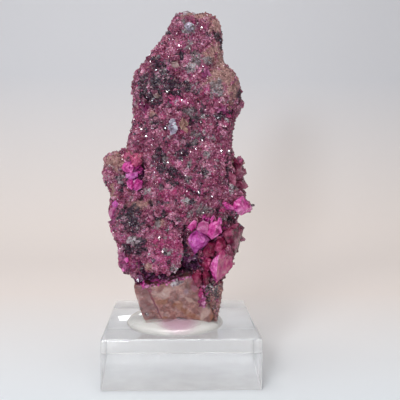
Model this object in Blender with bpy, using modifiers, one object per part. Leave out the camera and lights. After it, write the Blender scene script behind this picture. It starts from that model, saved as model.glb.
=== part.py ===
"""Cobaltoan dolomite specimen, held upright by a dab of clear gel on an acrylic display base.

Metres, +Z up. The origin is the centre of the base's underside, and the front looks along -Y.
The specimen is one stone: a druse-covered mass with rhombic crystals grown into it.
"""

import math

import bmesh
import bpy
from mathutils import Euler, Matrix, Vector, noise

MM = 0.001
TOUCHING_GAP = 0.3 * MM

# Display base: a square block of clear acrylic with eased edges.
BASE_WIDTH = 38.1 * MM
BASE_HEIGHT = 12.4 * MM
BASE_EDGE = 0.45 * MM

# Gel: a flattened dome that the stone's feet are pressed through.
GEL_CENTRE = Vector((-1.6, -3.9, 0)) * MM
GEL_RADIUS = 12.4 * MM
GEL_HEIGHT = 2.9 * MM
GEL_RIM_ANGLE = math.radians(72)
GEL_STEPS = 48
GEL_PROFILE_STEPS = 9
# The seats cut for the feet run this far below the gel, so that none leaves a thin floor.
SEAT_OVERRUN = 2.0 * MM

# Stone: horizontal sections of the mass, from the foot up, in millimetres.
# height, left, right, ridge (where the front stands furthest out), front, back
SECTIONS = (
    (16.6, -9.4, 8.8, -1.0, -6.8, 6.4),
    (18.6, -11.2, 9.8, -1.0, -7.5, 7.5),
    (21.0, -11.4, 10.8, -2.0, -8.0, 8.4),
    (24.6, -13.8, 12.2, -3.0, -8.6, 9.0),
    (28.0, -16.4, 13.8, -3.5, -9.3, 9.4),
    (33.0, -17.2, 14.4, -3.5, -9.6, 9.8),
    (38.0, -18.0, 14.8, -3.0, -9.5, 10.0),
    (43.0, -18.8, 15.6, -2.0, -9.4, 10.0),
    (48.0, -18.6, 15.6, -1.0, -9.2, 9.8),
    (53.0, -16.4, 14.0, 0.0, -9.0, 9.4),
    (58.0, -14.4, 13.0, 0.0, -8.8, 9.0),
    (63.0, -13.4, 13.6, -0.5, -8.6, 8.6),
    (68.0, -13.2, 15.0, -1.5, -8.3, 8.2),
    (72.5, -13.2, 15.2, -2.5, -7.8, 7.8),
    (76.5, -12.2, 13.2, -2.5, -7.2, 7.2),
    (80.5, -9.2, 10.8, -1.5, -6.6, 6.4),
    (84.5, -5.8, 10.4, 1.0, -5.8, 5.4),
    (88.5, -3.4, 9.0, 2.0, -4.8, 4.2),
    (90.9, -2.2, 7.4, 2.5, -3.4, 2.6),
)
SECTION_POINTS = 28
SECTION_SQUARENESS = 2.7
WIDEST_PLANE = -1.0

# Lumps joined to the mass and hollows taken out of it: centre and half sizes, in millimetres.
LUMPS = (
    ((-16.2, -2.4, 51.6), (4.5, 5.0, 3.6)),
    ((-17.4, -2.0, 49.6), (3.0, 4.0, 3.2)),
    ((-4.4, -8.2, 31.8), (6.4, 3.6, 6.6)),
    ((-12.0, -6.0, 38.0), (6.0, 4.6, 6.5)),
    ((4.4, -6.4, 52.5), (8.0, 3.8, 8.0)),
    ((-4.0, -6.0, 62.0), (7.5, 3.6, 9.0)),
    ((10.0, -1.5, 72.6), (4.9, 5.2, 6.2)),
    ((6.0, -1.0, 86.0), (4.4, 4.4, 4.8)),
    ((13.2, -2.2, 51.0), (3.2, 4.6, 3.8)),
    ((13.6, -1.0, 45.0), (3.4, 5.0, 4.0)),
    ((-12.8, -5.4, 27.6), (3.4, 3.8, 3.2)),
    ((8.6, -3.0, 27.0), (4.6, 4.2, 4.6)),
    ((4.0, 6.6, 62.0), (8.0, 4.0, 11.0)),
    ((-7.0, 7.0, 44.0), (8.5, 4.4, 9.0)),
    ((6.5, 6.6, 36.0), (7.0, 4.4, 8.0)),
    ((-4.0, 5.0, 74.0), (6.0, 3.8, 6.0)),
    ((-2.0, 6.4, 25.0), (8.0, 3.6, 6.0)),
)
HOLLOWS = (
    ((-10.4, -9.6, 52.2), (2.3, 3.8, 2.7)),
    ((-13.4, -9.2, 50.6), (3.0, 3.6, 4.4)),
    ((2.4, -10.8, 27.6), (3.4, 4.6, 2.0)),
    ((0.9, -12.0, 36.4), (1.5, 3.4, 5.4)),
    ((8.0, -11.2, 35.4), (5.4, 3.9, 4.6)),
    ((10.2, -11.4, 28.8), (4.8, 4.0, 4.6)),
    ((15.4, -6.0, 38.6), (2.6, 4.2, 1.5)),
    ((-9.0, -10.6, 44.8), (4.0, 2.2, 3.0)),
    ((-6.0, 11.6, 57.0), (5.0, 3.2, 6.5)),
    ((9.0, 11.0, 48.0), (4.6, 3.0, 4.5)),
    ((2.0, 9.6, 82.0), (5.0, 3.4, 4.6)),
)
LUMP_SUBDIVISIONS = 3

# Surface of the mass: even facets of this size, moved by slow waves, bumps and crystal grains.
FACET = 1.5 * MM
WAVE_SIZE, WAVE_HEIGHT = 8.0 * MM, 1.1 * MM
BUMP_SIZE, BUMP_HEIGHT = 4.2 * MM, 0.9 * MM
GRAIN_SIZE, GRAIN_HEIGHT = 1.9 * MM, 0.7 * MM
CELL_MIDDLE = 0.4
CALM_BELOW, ROUGH_ABOVE = 17.0 * MM, 24.0 * MM

# Slot under the druse mass, above the foot crystals: centre, size and slant.
SLOT_CENTRE = Vector((-3.4, -9.0, 25.0)) * MM
SLOT_SIZE = Vector((15.0, 8.0, 1.5)) * MM
SLOT_SLANT = math.radians(-14)

# Foot: three cleaved blocks, as front outlines (x, z) in millimetres, front face and depth.
FOOT_BOTTOM = (BASE_HEIGHT + TOUCHING_GAP) / MM
FOOT_BLOCKS = {
    "broad": (
        (
            (-8.8, 22.5),
            (2.4, 25.5),
            (4.8, 21.8),
            (8.2, 15.6),
            (7.0, 13.3),
            (4.0, 14.2),
            (-0.9, 15.2),
            (-2.6, 13.3),
            (-4.2, FOOT_BOTTOM),
            (-6.0, 17.0),
        ),
        -10.2,
        13.4,
    ),
    "slab": (
        (
            (-12.1, 23.2),
            (-9.2, 23.4),
            (-6.6, 17.4),
            (-4.7, FOOT_BOTTOM),
            (-8.5, FOOT_BOTTOM),
            (-10.6, 16.0),
            (-12.1, 19.8),
        ),
        -9.6,
        12.2,
    ),
    "heel": (
        (
            (4.4, 22.6),
            (10.6, 23.6),
            (10.2, 18.0),
            (8.9, FOOT_BOTTOM),
            (6.2, FOOT_BOTTOM),
            (5.2, 16.0),
        ),
        -8.4,
        13.0,
    ),
}
FOOT_BACK_RISE = 0.35 * MM

# Dolomite cleaves into rhombs whose face corners measure 73 and 107 degrees. These are the
# directions of a rhomb's three edges, with the first face square to the front.
RHOMB_EDGES = (
    Vector((1, 0, 0)),
    Vector((-0.292, 0, 0.956)),
    Vector((-0.292, 0.871, -0.395)),
)

# Crystals: centre and edge lengths in millimetres, then the turn about X, Y and Z in degrees.
CRYSTALS = (
    ((15.1, -2.6, 42.8), (4.6, 3.6, 6.6), (62, -33, 141)),
    ((12.0, -6.9, 42.3), (4.3, 2.0, 2.6), (32, 35, -41)),
    ((4.4, -9.4, 33.6), (3.9, 3.9, 3.4), (42, -121, -22)),
    ((7.9, -9.1, 37.4), (2.8, 3.8, 5.0), (-8, 22, -24)),
    ((2.6, -9.8, 38.5), (1.3, 2.6, 3.0), (5, 12, 30)),
    ((12.8, -5.8, 35.1), (3.8, 3.0, 6.2), (-103, 16, -148)),
    ((9.6, -7.4, 28.9), (6.4, 4.2, 8.2), (-66, 5, -80)),
    ((5.9, -8.4, 31.0), (2.3, 2.6, 2.4), (30, 12, 40)),
    ((9.3, -8.8, 33.4), (2.2, 2.4, 3.6), (13, 34, -48)),
    ((3.9, -8.9, 24.2), (2.2, 4.8, 3.2), (-4, 28, -38)),
    ((-12.5, -6.5, 53.7), (3.7, 2.5, 2.6), (57, -28, -77)),
    ((-13.3, -6.7, 52.2), (1.2, 1.6, 2.7), (64, 154, 41)),
    ((-13.5, -7.0, 48.8), (1.5, 1.7, 2.9), (67, -12, 157)),
    ((-11.3, -6.8, 48.1), (1.3, 2.0, 4.0), (-159, -25, 34)),
    ((-17.6, -4.9, 41.7), (2.4, 1.7, 3.5), (121, -62, -71)),
    ((-17.7, -4.8, 37.8), (3.1, 1.3, 2.0), (123, -2, 77)),
    ((-14.2, -7.4, 28.0), (2.5, 2.4, 2.4), (14, 62, 20)),
    ((-11.6, -8.2, 28.8), (1.7, 2.0, 1.8), (40, 18, -12)),
    ((-10.3, -8.6, 24.0), (1.8, 1.8, 1.7), (10, 34, 30)),
    ((-9.2, -8.8, 37.2), (1.6, 2.4, 1.7), (24, 8, -30)),
    ((-11.9, -8.0, 34.3), (1.5, 2.6, 2.8), (10, 44, 12)),
    ((5.3, -9.0, 22.4), (1.9, 1.9, 1.9), (26, 48, -18)),
    ((5.2, -9.6, 19.2), (1.3, 4.0, 1.6), (0, 6, 24)),
    ((12.6, -5.4, 49.8), (2.6, 2.8, 2.6), (18, 30, -30)),
    ((15.2, -3.6, 48.3), (2.3, 2.4, 2.4), (36, 8, -44)),
    ((14.6, -3.4, 53.6), (2.5, 2.2, 2.6), (8, 54, -24)),
    ((-9.8, -7.2, 67.4), (2.3, 2.3, 2.3), (20, 32, 26)),
    ((10.4, -5.8, 67.2), (3.2, 1.6, 2.2), (10, 4, -30)),
    ((5.5, -6.9, 75.8), (1.5, 2.0, 1.6), (32, 24, -36)),
    ((-0.2, -8.8, 62.6), (2.5, 4.8, 3.6), (-3, 8, 4)),
    ((-2.7, -8.8, 62.2), (1.8, 4.6, 4.4), (8, 10, 12)),
    ((-6.5, -7.9, 69.9), (1.0, 2.4, 1.4), (10, -16, 14)),
    ((-2.0, -7.5, 77.8), (1.0, 2.8, 2.4), (8, 2, 6)),
)

# Principled colours, roughness and metallic value of each node.
FINISHES = {
    "dolomite_specimen": ((0.30, 0.06, 0.12, 1), 0.45, 0.0),
    "mounting_gel": ((0.86, 0.84, 0.78, 1), 0.12, 0.0),
    "acrylic_base": ((0.90, 0.93, 0.94, 1), 0.05, 0.0),
}


def clear_scene():
    for obj in list(bpy.data.objects):
        bpy.data.objects.remove(obj)


def new_collection(name):
    collection = bpy.data.collections.new(name)
    bpy.context.scene.collection.children.link(collection)
    return collection


def object_from(bm, name, collection):
    """Closes a bmesh into a new object whose faces point out."""
    bmesh.ops.recalc_face_normals(bm, faces=bm.faces)
    mesh = bpy.data.meshes.new(name)
    bm.to_mesh(mesh)
    bm.free()
    obj = bpy.data.objects.new(name, mesh)
    collection.objects.link(obj)
    return obj


def helper(obj):
    """Keeps a cutter or a joined shape out of the model's own nodes."""
    obj.hide_render = True
    obj.display_type = "WIRE"
    return obj


def finish(obj):
    colour, roughness, metallic = FINISHES[obj.name]
    material = bpy.data.materials.new(obj.name)
    material.use_nodes = True
    shader = material.node_tree.nodes["Principled BSDF"]
    shader.inputs["Base Color"].default_value = colour
    shader.inputs["Roughness"].default_value = roughness
    shader.inputs["Metallic"].default_value = metallic
    obj.data.materials.clear()
    obj.data.materials.append(material)


def boolean(obj, operation, other):
    """Adds an exact Boolean with one object, or with all of a collection."""
    modifier = obj.modifiers.new(operation.lower(), "BOOLEAN")
    modifier.operation = operation
    modifier.solver = "EXACT"
    if isinstance(other, bpy.types.Collection):
        modifier.operand_type = "COLLECTION"
        modifier.collection = other
    else:
        modifier.object = other


def apply_modifiers(obj):
    """Replaces an object's mesh by what its modifiers make of it."""
    bpy.context.view_layer.update()
    graph = bpy.context.evaluated_depsgraph_get()
    mesh = bpy.data.meshes.new_from_object(obj.evaluated_get(graph))
    obj.modifiers.clear()
    obj.data = mesh


def keep_largest_shell(obj):
    """Removes the slivers that a Boolean can leave inside a crowd of crystals."""
    bm = bmesh.new()
    bm.from_mesh(obj.data)
    unseen, shells = set(bm.verts), []
    while unseen:
        shell, edge_of_shell = set(), [unseen.pop()]
        while edge_of_shell:
            vertex = edge_of_shell.pop()
            shell.add(vertex)
            near = {edge.other_vert(vertex) for edge in vertex.link_edges} & unseen
            unseen -= near
            edge_of_shell.extend(near)
        shells.append(shell)
    largest = max(shells, key=len)
    loose = [vertex for shell in shells if shell is not largest for vertex in shell]
    bmesh.ops.delete(bm, geom=loose, context="VERTS")
    bm.to_mesh(obj.data)
    bm.free()


def section_ring(height, left, right, ridge, front, back):
    """Points of one rounded horizontal section, counter-clockwise from the right."""
    power = 2 / SECTION_SQUARENESS
    points = []
    for i in range(SECTION_POINTS):
        angle = 2 * math.pi * i / SECTION_POINTS
        across = math.copysign(abs(math.cos(angle)) ** power, math.cos(angle))
        along = math.copysign(abs(math.sin(angle)) ** power, math.sin(angle))
        side = right - ridge if across > 0 else ridge - left
        depth = back - WIDEST_PLANE if along > 0 else WIDEST_PLANE - front
        points.append(Vector((ridge + across * side, WIDEST_PLANE + along * depth, height)) * MM)
    return points


def make_mass(collection):
    """Lofts the stone's mass through its sections."""
    bm = bmesh.new()
    rings = [[bm.verts.new(point) for point in section_ring(*section)] for section in SECTIONS]
    for lower, upper in zip(rings, rings[1:]):
        for i in range(SECTION_POINTS):
            j = (i + 1) % SECTION_POINTS
            bm.faces.new((lower[i], lower[j], upper[j], upper[i]))
    bm.faces.new(reversed(rings[0]))
    bm.faces.new(rings[-1])
    return object_from(bm, "dolomite_specimen", collection)


def make_ellipsoid(name, centre, half_sizes, collection):
    bm = bmesh.new()
    bmesh.ops.create_icosphere(bm, subdivisions=LUMP_SUBDIVISIONS, radius=MM)
    bmesh.ops.scale(bm, vec=Vector(half_sizes), verts=bm.verts)
    bmesh.ops.translate(bm, vec=Vector(centre) * MM, verts=bm.verts)
    return helper(object_from(bm, name, collection))


def cell_height(point, size):
    """Peaks at the middle of each cell of a Voronoi pattern and falls to its edges, from 1 to 0."""
    nearest, second = noise.voronoi(point / size)[0][:2]
    return 1 - nearest / max(second, 1e-6)


def roughen(obj):
    """Moves each facet's corners in or out, less so at the foot."""
    mesh = obj.data
    normals = [vertex.normal.copy() for vertex in mesh.vertices]
    for vertex, normal in zip(mesh.vertices, normals):
        wave = noise.noise(vertex.co / WAVE_SIZE)
        bump = cell_height(vertex.co, BUMP_SIZE) - CELL_MIDDLE
        grain = cell_height(vertex.co, GRAIN_SIZE) - CELL_MIDDLE
        height = WAVE_HEIGHT * wave + BUMP_HEIGHT * bump + GRAIN_HEIGHT * grain
        share = (vertex.co.z - CALM_BELOW) / (ROUGH_ABOVE - CALM_BELOW)
        vertex.co += normal * height * min(1.0, max(0.0, share))


def make_rhomb(name, centre, edges, turn, collection):
    """One dolomite rhomb: a cube whose edges take the cleavage directions and lengths."""
    bm = bmesh.new()
    bmesh.ops.create_cube(bm, size=1)
    columns = [direction * length for direction, length in zip(RHOMB_EDGES, edges)]
    shear = Matrix(columns).transposed().to_4x4()
    place = Matrix.Translation(centre) @ turn.to_matrix().to_4x4()
    bmesh.ops.transform(bm, matrix=place @ shear, verts=bm.verts)
    return helper(object_from(bm, name, collection))


def make_crystals(collection):
    for number, (centre, edges, degrees) in enumerate(CRYSTALS):
        make_rhomb(
            f"crystal_{number}",
            Vector(centre) * MM,
            [edge * MM for edge in edges],
            Euler([math.radians(angle) for angle in degrees]),
            collection,
        )


def make_foot_block(name, outline, front, depth, collection, margin=0.0, overrun=0.0):
    """A cleaved block: a front outline pushed straight back, rising a little towards the back.

    margin widens the block all round and overrun lengthens it downwards, for the gel's seats.
    """
    bm = bmesh.new()
    corners = [bm.verts.new(Vector((x, front, z)) * MM) for x, z in outline]
    face = bm.faces.new(corners)
    back = bmesh.ops.extrude_face_region(bm, geom=[face])
    moved = [v for v in back["geom"] if isinstance(v, bmesh.types.BMVert)]
    bmesh.ops.translate(bm, vec=Vector((0, depth * MM, FOOT_BACK_RISE)), verts=moved)
    bmesh.ops.recalc_face_normals(bm, faces=bm.faces)
    if margin:
        bm.normal_update()
        shell = {v: v.normal * v.calc_shell_factor() * margin for v in bm.verts}
        lowest = min(vertex.co.z for vertex in bm.verts) + FOOT_BACK_RISE + margin
        for vertex, step in shell.items():
            at_foot = vertex.co.z < lowest
            vertex.co += step
            if at_foot:
                vertex.co.z -= overrun
    return helper(object_from(bm, name, collection))


def make_slot(collection):
    bm = bmesh.new()
    bmesh.ops.create_cube(bm, size=1)
    bmesh.ops.scale(bm, vec=SLOT_SIZE, verts=bm.verts)
    turn = Matrix.Rotation(SLOT_SLANT, 4, "Y")
    bmesh.ops.transform(bm, matrix=Matrix.Translation(SLOT_CENTRE) @ turn, verts=bm.verts)
    return helper(object_from(bm, "slot", collection))


def make_specimen(model, helpers):
    """The stone: mass, lumps and hollows first, then crisp crystals joined to its rough skin."""
    specimen = make_mass(model)
    joined, hollowed, grown = (new_collection(n) for n in ("lumps", "hollows", "crystals"))
    for number, (centre, half_sizes) in enumerate(LUMPS):
        make_ellipsoid(f"lump_{number}", centre, half_sizes, joined)
    for number, (centre, half_sizes) in enumerate(HOLLOWS):
        make_ellipsoid(f"hollow_{number}", centre, half_sizes, hollowed)
    boolean(specimen, "UNION", joined)
    boolean(specimen, "DIFFERENCE", hollowed)
    facets = specimen.modifiers.new("facets", "REMESH")
    facets.mode = "VOXEL"
    facets.voxel_size = FACET
    apply_modifiers(specimen)
    roughen(specimen)
    make_crystals(grown)
    for name, (outline, front, depth) in FOOT_BLOCKS.items():
        make_foot_block(name, outline, front, depth, grown)
    boolean(specimen, "DIFFERENCE", make_slot(helpers))
    boolean(specimen, "UNION", grown)
    apply_modifiers(specimen)
    keep_largest_shell(specimen)
    return specimen


def make_gel(model, helpers):
    """A turned dome with a rounded rim, cut out around the stone's feet."""
    ball_radius = GEL_RADIUS / math.sin(GEL_RIM_ANGLE)
    rim_height = math.cos(GEL_RIM_ANGLE)
    bm = bmesh.new()
    profile = []
    for i in range(GEL_PROFILE_STEPS + 1):
        angle = GEL_RIM_ANGLE * i / GEL_PROFILE_STEPS
        height = GEL_HEIGHT * (math.cos(angle) - rim_height) / (1 - rim_height)
        profile.append(bm.verts.new((ball_radius * math.sin(angle), 0, height)))
    profile.append(bm.verts.new((0, 0, 0)))
    for upper, lower in zip(profile, profile[1:]):
        bm.edges.new((upper, lower))
    mesh = bpy.data.meshes.new("mounting_gel")
    bm.to_mesh(mesh)
    bm.free()
    gel = bpy.data.objects.new("mounting_gel", mesh)
    gel.location = GEL_CENTRE + Vector((0, 0, BASE_HEIGHT + TOUCHING_GAP))
    model.objects.link(gel)
    turned = gel.modifiers.new("turned", "SCREW")
    turned.steps = turned.render_steps = GEL_STEPS
    turned.use_merge_vertices = True
    turned.merge_threshold = 0.01 * MM
    for name, (outline, front, depth) in FOOT_BLOCKS.items():
        seat = (f"{name}_seat", outline, front, depth, helpers)
        boolean(gel, "DIFFERENCE", make_foot_block(*seat, TOUCHING_GAP, SEAT_OVERRUN))
    return gel


def make_base(model):
    bm = bmesh.new()
    bmesh.ops.create_cube(bm, size=1)
    bmesh.ops.scale(bm, vec=(BASE_WIDTH, BASE_WIDTH, BASE_HEIGHT), verts=bm.verts)
    bmesh.ops.translate(bm, vec=(0, 0, BASE_HEIGHT / 2), verts=bm.verts)
    base = object_from(bm, "acrylic_base", model)
    eased = base.modifiers.new("eased edges", "BEVEL")
    eased.width = BASE_EDGE
    eased.segments = 2
    return base


def main():
    clear_scene()
    model = new_collection("Cobaltoan dolomite specimen")
    helpers = new_collection("Cutters")
    for obj in (make_specimen(model, helpers), make_gel(model, helpers), make_base(model)):
        finish(obj)


main()
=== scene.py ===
"""Finish of the cobaltoan dolomite specimen: matrix, druse, crystals, cleaved foot, gel and acrylic block.

Metres, +Z up, front along -Y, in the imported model's own frame. Lists of places are in millimetres.
"""

import math
from collections import defaultdict
from contextlib import contextmanager

import bpy
import numpy as np
from mathutils import Euler, Matrix, Vector, noise
from mathutils.bvhtree import BVHTree


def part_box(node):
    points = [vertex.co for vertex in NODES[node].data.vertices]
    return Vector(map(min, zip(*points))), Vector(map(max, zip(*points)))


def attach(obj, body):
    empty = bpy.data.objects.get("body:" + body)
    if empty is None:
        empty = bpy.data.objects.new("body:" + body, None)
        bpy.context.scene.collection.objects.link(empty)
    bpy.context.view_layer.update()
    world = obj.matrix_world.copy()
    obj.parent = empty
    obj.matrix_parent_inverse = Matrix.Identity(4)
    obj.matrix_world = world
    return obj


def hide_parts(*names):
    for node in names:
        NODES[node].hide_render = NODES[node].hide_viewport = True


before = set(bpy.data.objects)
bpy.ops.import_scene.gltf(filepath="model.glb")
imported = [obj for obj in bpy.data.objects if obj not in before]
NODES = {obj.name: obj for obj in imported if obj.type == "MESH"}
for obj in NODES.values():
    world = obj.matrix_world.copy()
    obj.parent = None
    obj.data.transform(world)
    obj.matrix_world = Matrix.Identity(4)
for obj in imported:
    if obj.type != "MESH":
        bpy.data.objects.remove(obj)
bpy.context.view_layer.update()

MM = 0.001

# ---------------------------------------- sizes and places

CAMERA_PLACE = Vector((-2.29, -154.65, 54.9)) * MM
CAMERA_DOWN = math.radians(4.12)
CAMERA_RIGHT = math.radians(2.61)
CAMERA_ROLL = math.radians(0.54)
CAMERA_LENS = 53.17

# Lights: name, place, width and height, power, colour. The last two light only the gel and the block.
KEY_PLACE = Vector((-0.2, -0.4, 0.34))
LIGHTS = (
    ("key", KEY_PLACE, (0.12, 0.12), 0.72, (1, 0.99, 0.98)),
    ("front", (-0.15, -0.52, 0.09), (0.06, 0.06), 1.32, (0.84, 0.93, 1)),
    ("fill", (0.36, -0.34, 0.16), (0.22, 0.22), 0.15, (1, 0.9, 0.84)),
    ("top", (-0.05, -0.04, 0.5), (0.3, 0.3), 1.05, (1, 0.99, 0.985)),
)
CLEAR_LIGHTS = (
    ("overhead", (0, 0.02, 0.4), (0.3, 0.3), 1.4, (1, 0.99, 0.985)),
    ("window", (-0.037, 0.195, 0.064), (0.013, 0.012), 0.0025, (0.95, 0.98, 1)),
)
LIGHTS_AIM = Vector((0, 0, 0.05))
ROOM_COLOUR, ROOM_STRENGTH = (1, 0.99, 0.985, 1), 0.33

FLOOR_HEIGHT = -0.02 * MM
SWEEP_SIZE, SWEEP_BACK, SWEEP_RADIUS, SWEEP_STEPS = 1.6, 0.15, 0.22, 16
# The backdrop's colour is darker than the floor's: painted shade higher up the sweep. The far floor is
# warmer.
FLOOR_NEAR, FLOOR_FAR, BACKDROP = (0.78, 0.82, 0.855), (0.88, 0.8, 0.755), (0.68, 0.68, 0.71)
# Shares of the far floor's and the backdrop's colour: for each metre back or up, and at the middle.
FAR_FADE, BACKDROP_FADE = (9, 0.27), (9, -0.1)

BASE_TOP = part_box("acrylic_base")[1].z
BASE_WIDTH = 2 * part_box("acrylic_base")[1].x
BASE_EDGE = 0.45 * MM
UNDERSIDE = 0.3 * MM

GEL_LOW, GEL_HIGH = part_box("mounting_gel")
GEL_MIDDLE = (GEL_LOW + GEL_HIGH) / 2
GEL_RADIUS = (GEL_HIGH - GEL_LOW).x / 2
GEL_SINK = 0.03 * MM
# The gel's lilac is a painted refraction of the stone, centred this far from the gel's middle.
GEL_PAINTED_LILAC_SHIFT = Vector((0.7, -7.6, 1)) * MM
GEL_ROUNDNESS, GEL_SLOPE = 5, 0.25
GEL_PAINTED_LILAC, GEL_CREAM = (0.8, 0.53, 0.64), (0.985, 0.97, 0.925)

# Rock body: its skin is sunk everywhere, and further under the crystals and the foot.
ROCK_VOXEL = 0.36 * MM
ROCK_INSET = 0.1 * MM
LUMPS = (
    ((-16.9, -3.2, 53.2), (3.1, 3.6, 3.3)),
    ((-14.6, -3, 54.5), (2.3, 3, 2.6)),
    ((0.8, -3, 88.2), (4.1, 3, 3.1)),
    ((5.2, -3, 87.5), (4.5, 3, 3.8)),
)
SUNK_UNDER_CRYSTALS = 0.5 * MM
SUNK_REACH = 0.9 * MM
CLEARED = 4 * MM
CLUMP_SIZE, CLUMP_HEIGHT = 2.8 * MM, 0.52 * MM
KNOT_SIZE, KNOT_HEIGHT = 1.3 * MM, 0.3 * MM
GRIT_SIZE, GRIT_HEIGHT = 0.8 * MM, 0.14 * MM

# Clefts of the front: half width and depth, then the line's points (x, z).
CLEFTS = (
    (0.55, 1.3, ((-0.7, 26.2), (0.3, 28), (1, 30), (1, 32), (0.7, 34), (0.5, 36), (0.5, 38))),
    (0.6, 1.4, ((-10.2, 26.4), (-8.7, 25.4), (-6, 24.9), (-2.5, 25.2), (-0.2, 26.3), (2.1, 26.8))),
    (1.3, 2, ((1.2, 26.9), (3.6, 27.9))),
    (0.4, 0.9, ((-6.5, 39.5), (-5.3, 40), (-3.5, 40.4), (-2.3, 38.8), (-1, 37))),
    (0.5, 1.2, ((3.5, 30.2), (5.3, 31.8), (7.5, 33.8), (10, 35.3))), (0.5, 1.3, ((9, 42.1), (9.3, 41.4))),
    (0.7, 1.4, ((12, 39.6), (14.2, 39.1))), (0.35, 0.8, ((-7.3, 41.5), (-6.8, 39.5))),
    (0.45, 1.2, ((4.1, 25.9), (5.1, 23.9))), (0.4, 0.9, ((-10.6, 45.7), (-10.4, 44.7))),
    (0.5, 0.8, ((-8, 43.8), (-7.3, 43))), (0.5, 1, ((-15.2, 47.7), (-13.7, 48.2), (-12.7, 50.2))),
    (0.5, 1.1, ((-14, 51.1), (-12.7, 52.1))), (0.4, 0.8, ((-10.7, 28.7), (-9.7, 27.2))),
    (0.5, 0.9, ((-10.2, 49), (-9.8, 52.5))), (0.4, 0.7, ((11.4, 55), (11, 50.5), (11.8, 47.5))),
    (0.4, 0.7, ((-5.8, 58), (-5.2, 54), (-3, 50.5), (-1, 48))),
    (0.4, 0.6, ((-8, 69.5), (-4.5, 71), (-0.5, 69.8))),
    (0.4, 0.6, ((-10.8, 74.5), (-9.8, 70), (-6.8, 66.5))),
    (0.35, 0.6, ((1.5, 47), (4.5, 45.5), (7.5, 46.5))),
)

# Druse: how many places are tried, and the least, middling and greatest grain.
DRUSE_SEED, CRUST_SEED, BED_SEED, STEP_SEED = 7, 17, 23, 11
DRUSE_PLACES = 84000
GRAIN_LEAST, GRAIN_MIDDLING, GRAIN_GREATEST = 0.24 * MM, 0.47 * MM, 1.3 * MM
GRAIN_SPREAD, GRAIN_TILT = 0.45, 0.45
SPECK_SIZE, FACET_SIZE = 1 * MM, 0.34 * MM
TINT_BROAD, TINT_FINE = 2.8 * MM, 1.1 * MM
DRUSE_BANDS = {
    "druse_low": (0, 34), "druse_waist": (34, 47), "druse_middle": (47, 62), "druse_high": (62, 99),
}
GLINTS, GLINTS_BEFORE = 420, -3 * MM
GLINT_LEAST, GLINT_SPREAD, GLINT_LIFT = 0.12, 0.32, 0.25 * MM
GLINT_TILT = 0.07

# Crusts of the foot blocks: how many places, bare above this height, and how often a grain has each colour.
CRUST_LEAST, CRUST_MIDDLING, CRUST_GREATEST = 0.12 * MM, 0.32 * MM, 0.6 * MM
CRUSTS = {
    "heel_foot_block": (2600, 27, {"tan": 0.75, "dark": 0.38, "pale": 0.16, "bright": 0.05}),
    "slab_foot_block": (900, 18, {"tan": 0.85, "dark": 0.1, "pale": 0.4, "bright": 0.12}),
}

# Dolomite's cleavage form, standing, and as columns with its first face level.
RHOMB_EDGES = Vector((1, 0, 0)), Vector((-0.292, 0, 0.956)), Vector((0.292, -0.871, 0.395))
LYING_EDGES = np.array(((1, -0.292, 0.292), (0, 0.956, 0.395), (0, 0, 0.871)))
# How wide the bevels of hulls, rhombs and the smaller rhombs beside them are.
HULL_EDGE, RHOMB_EDGE, STEP_EDGE = 0.04 * MM, 0.09 * MM, 0.05 * MM
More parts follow.
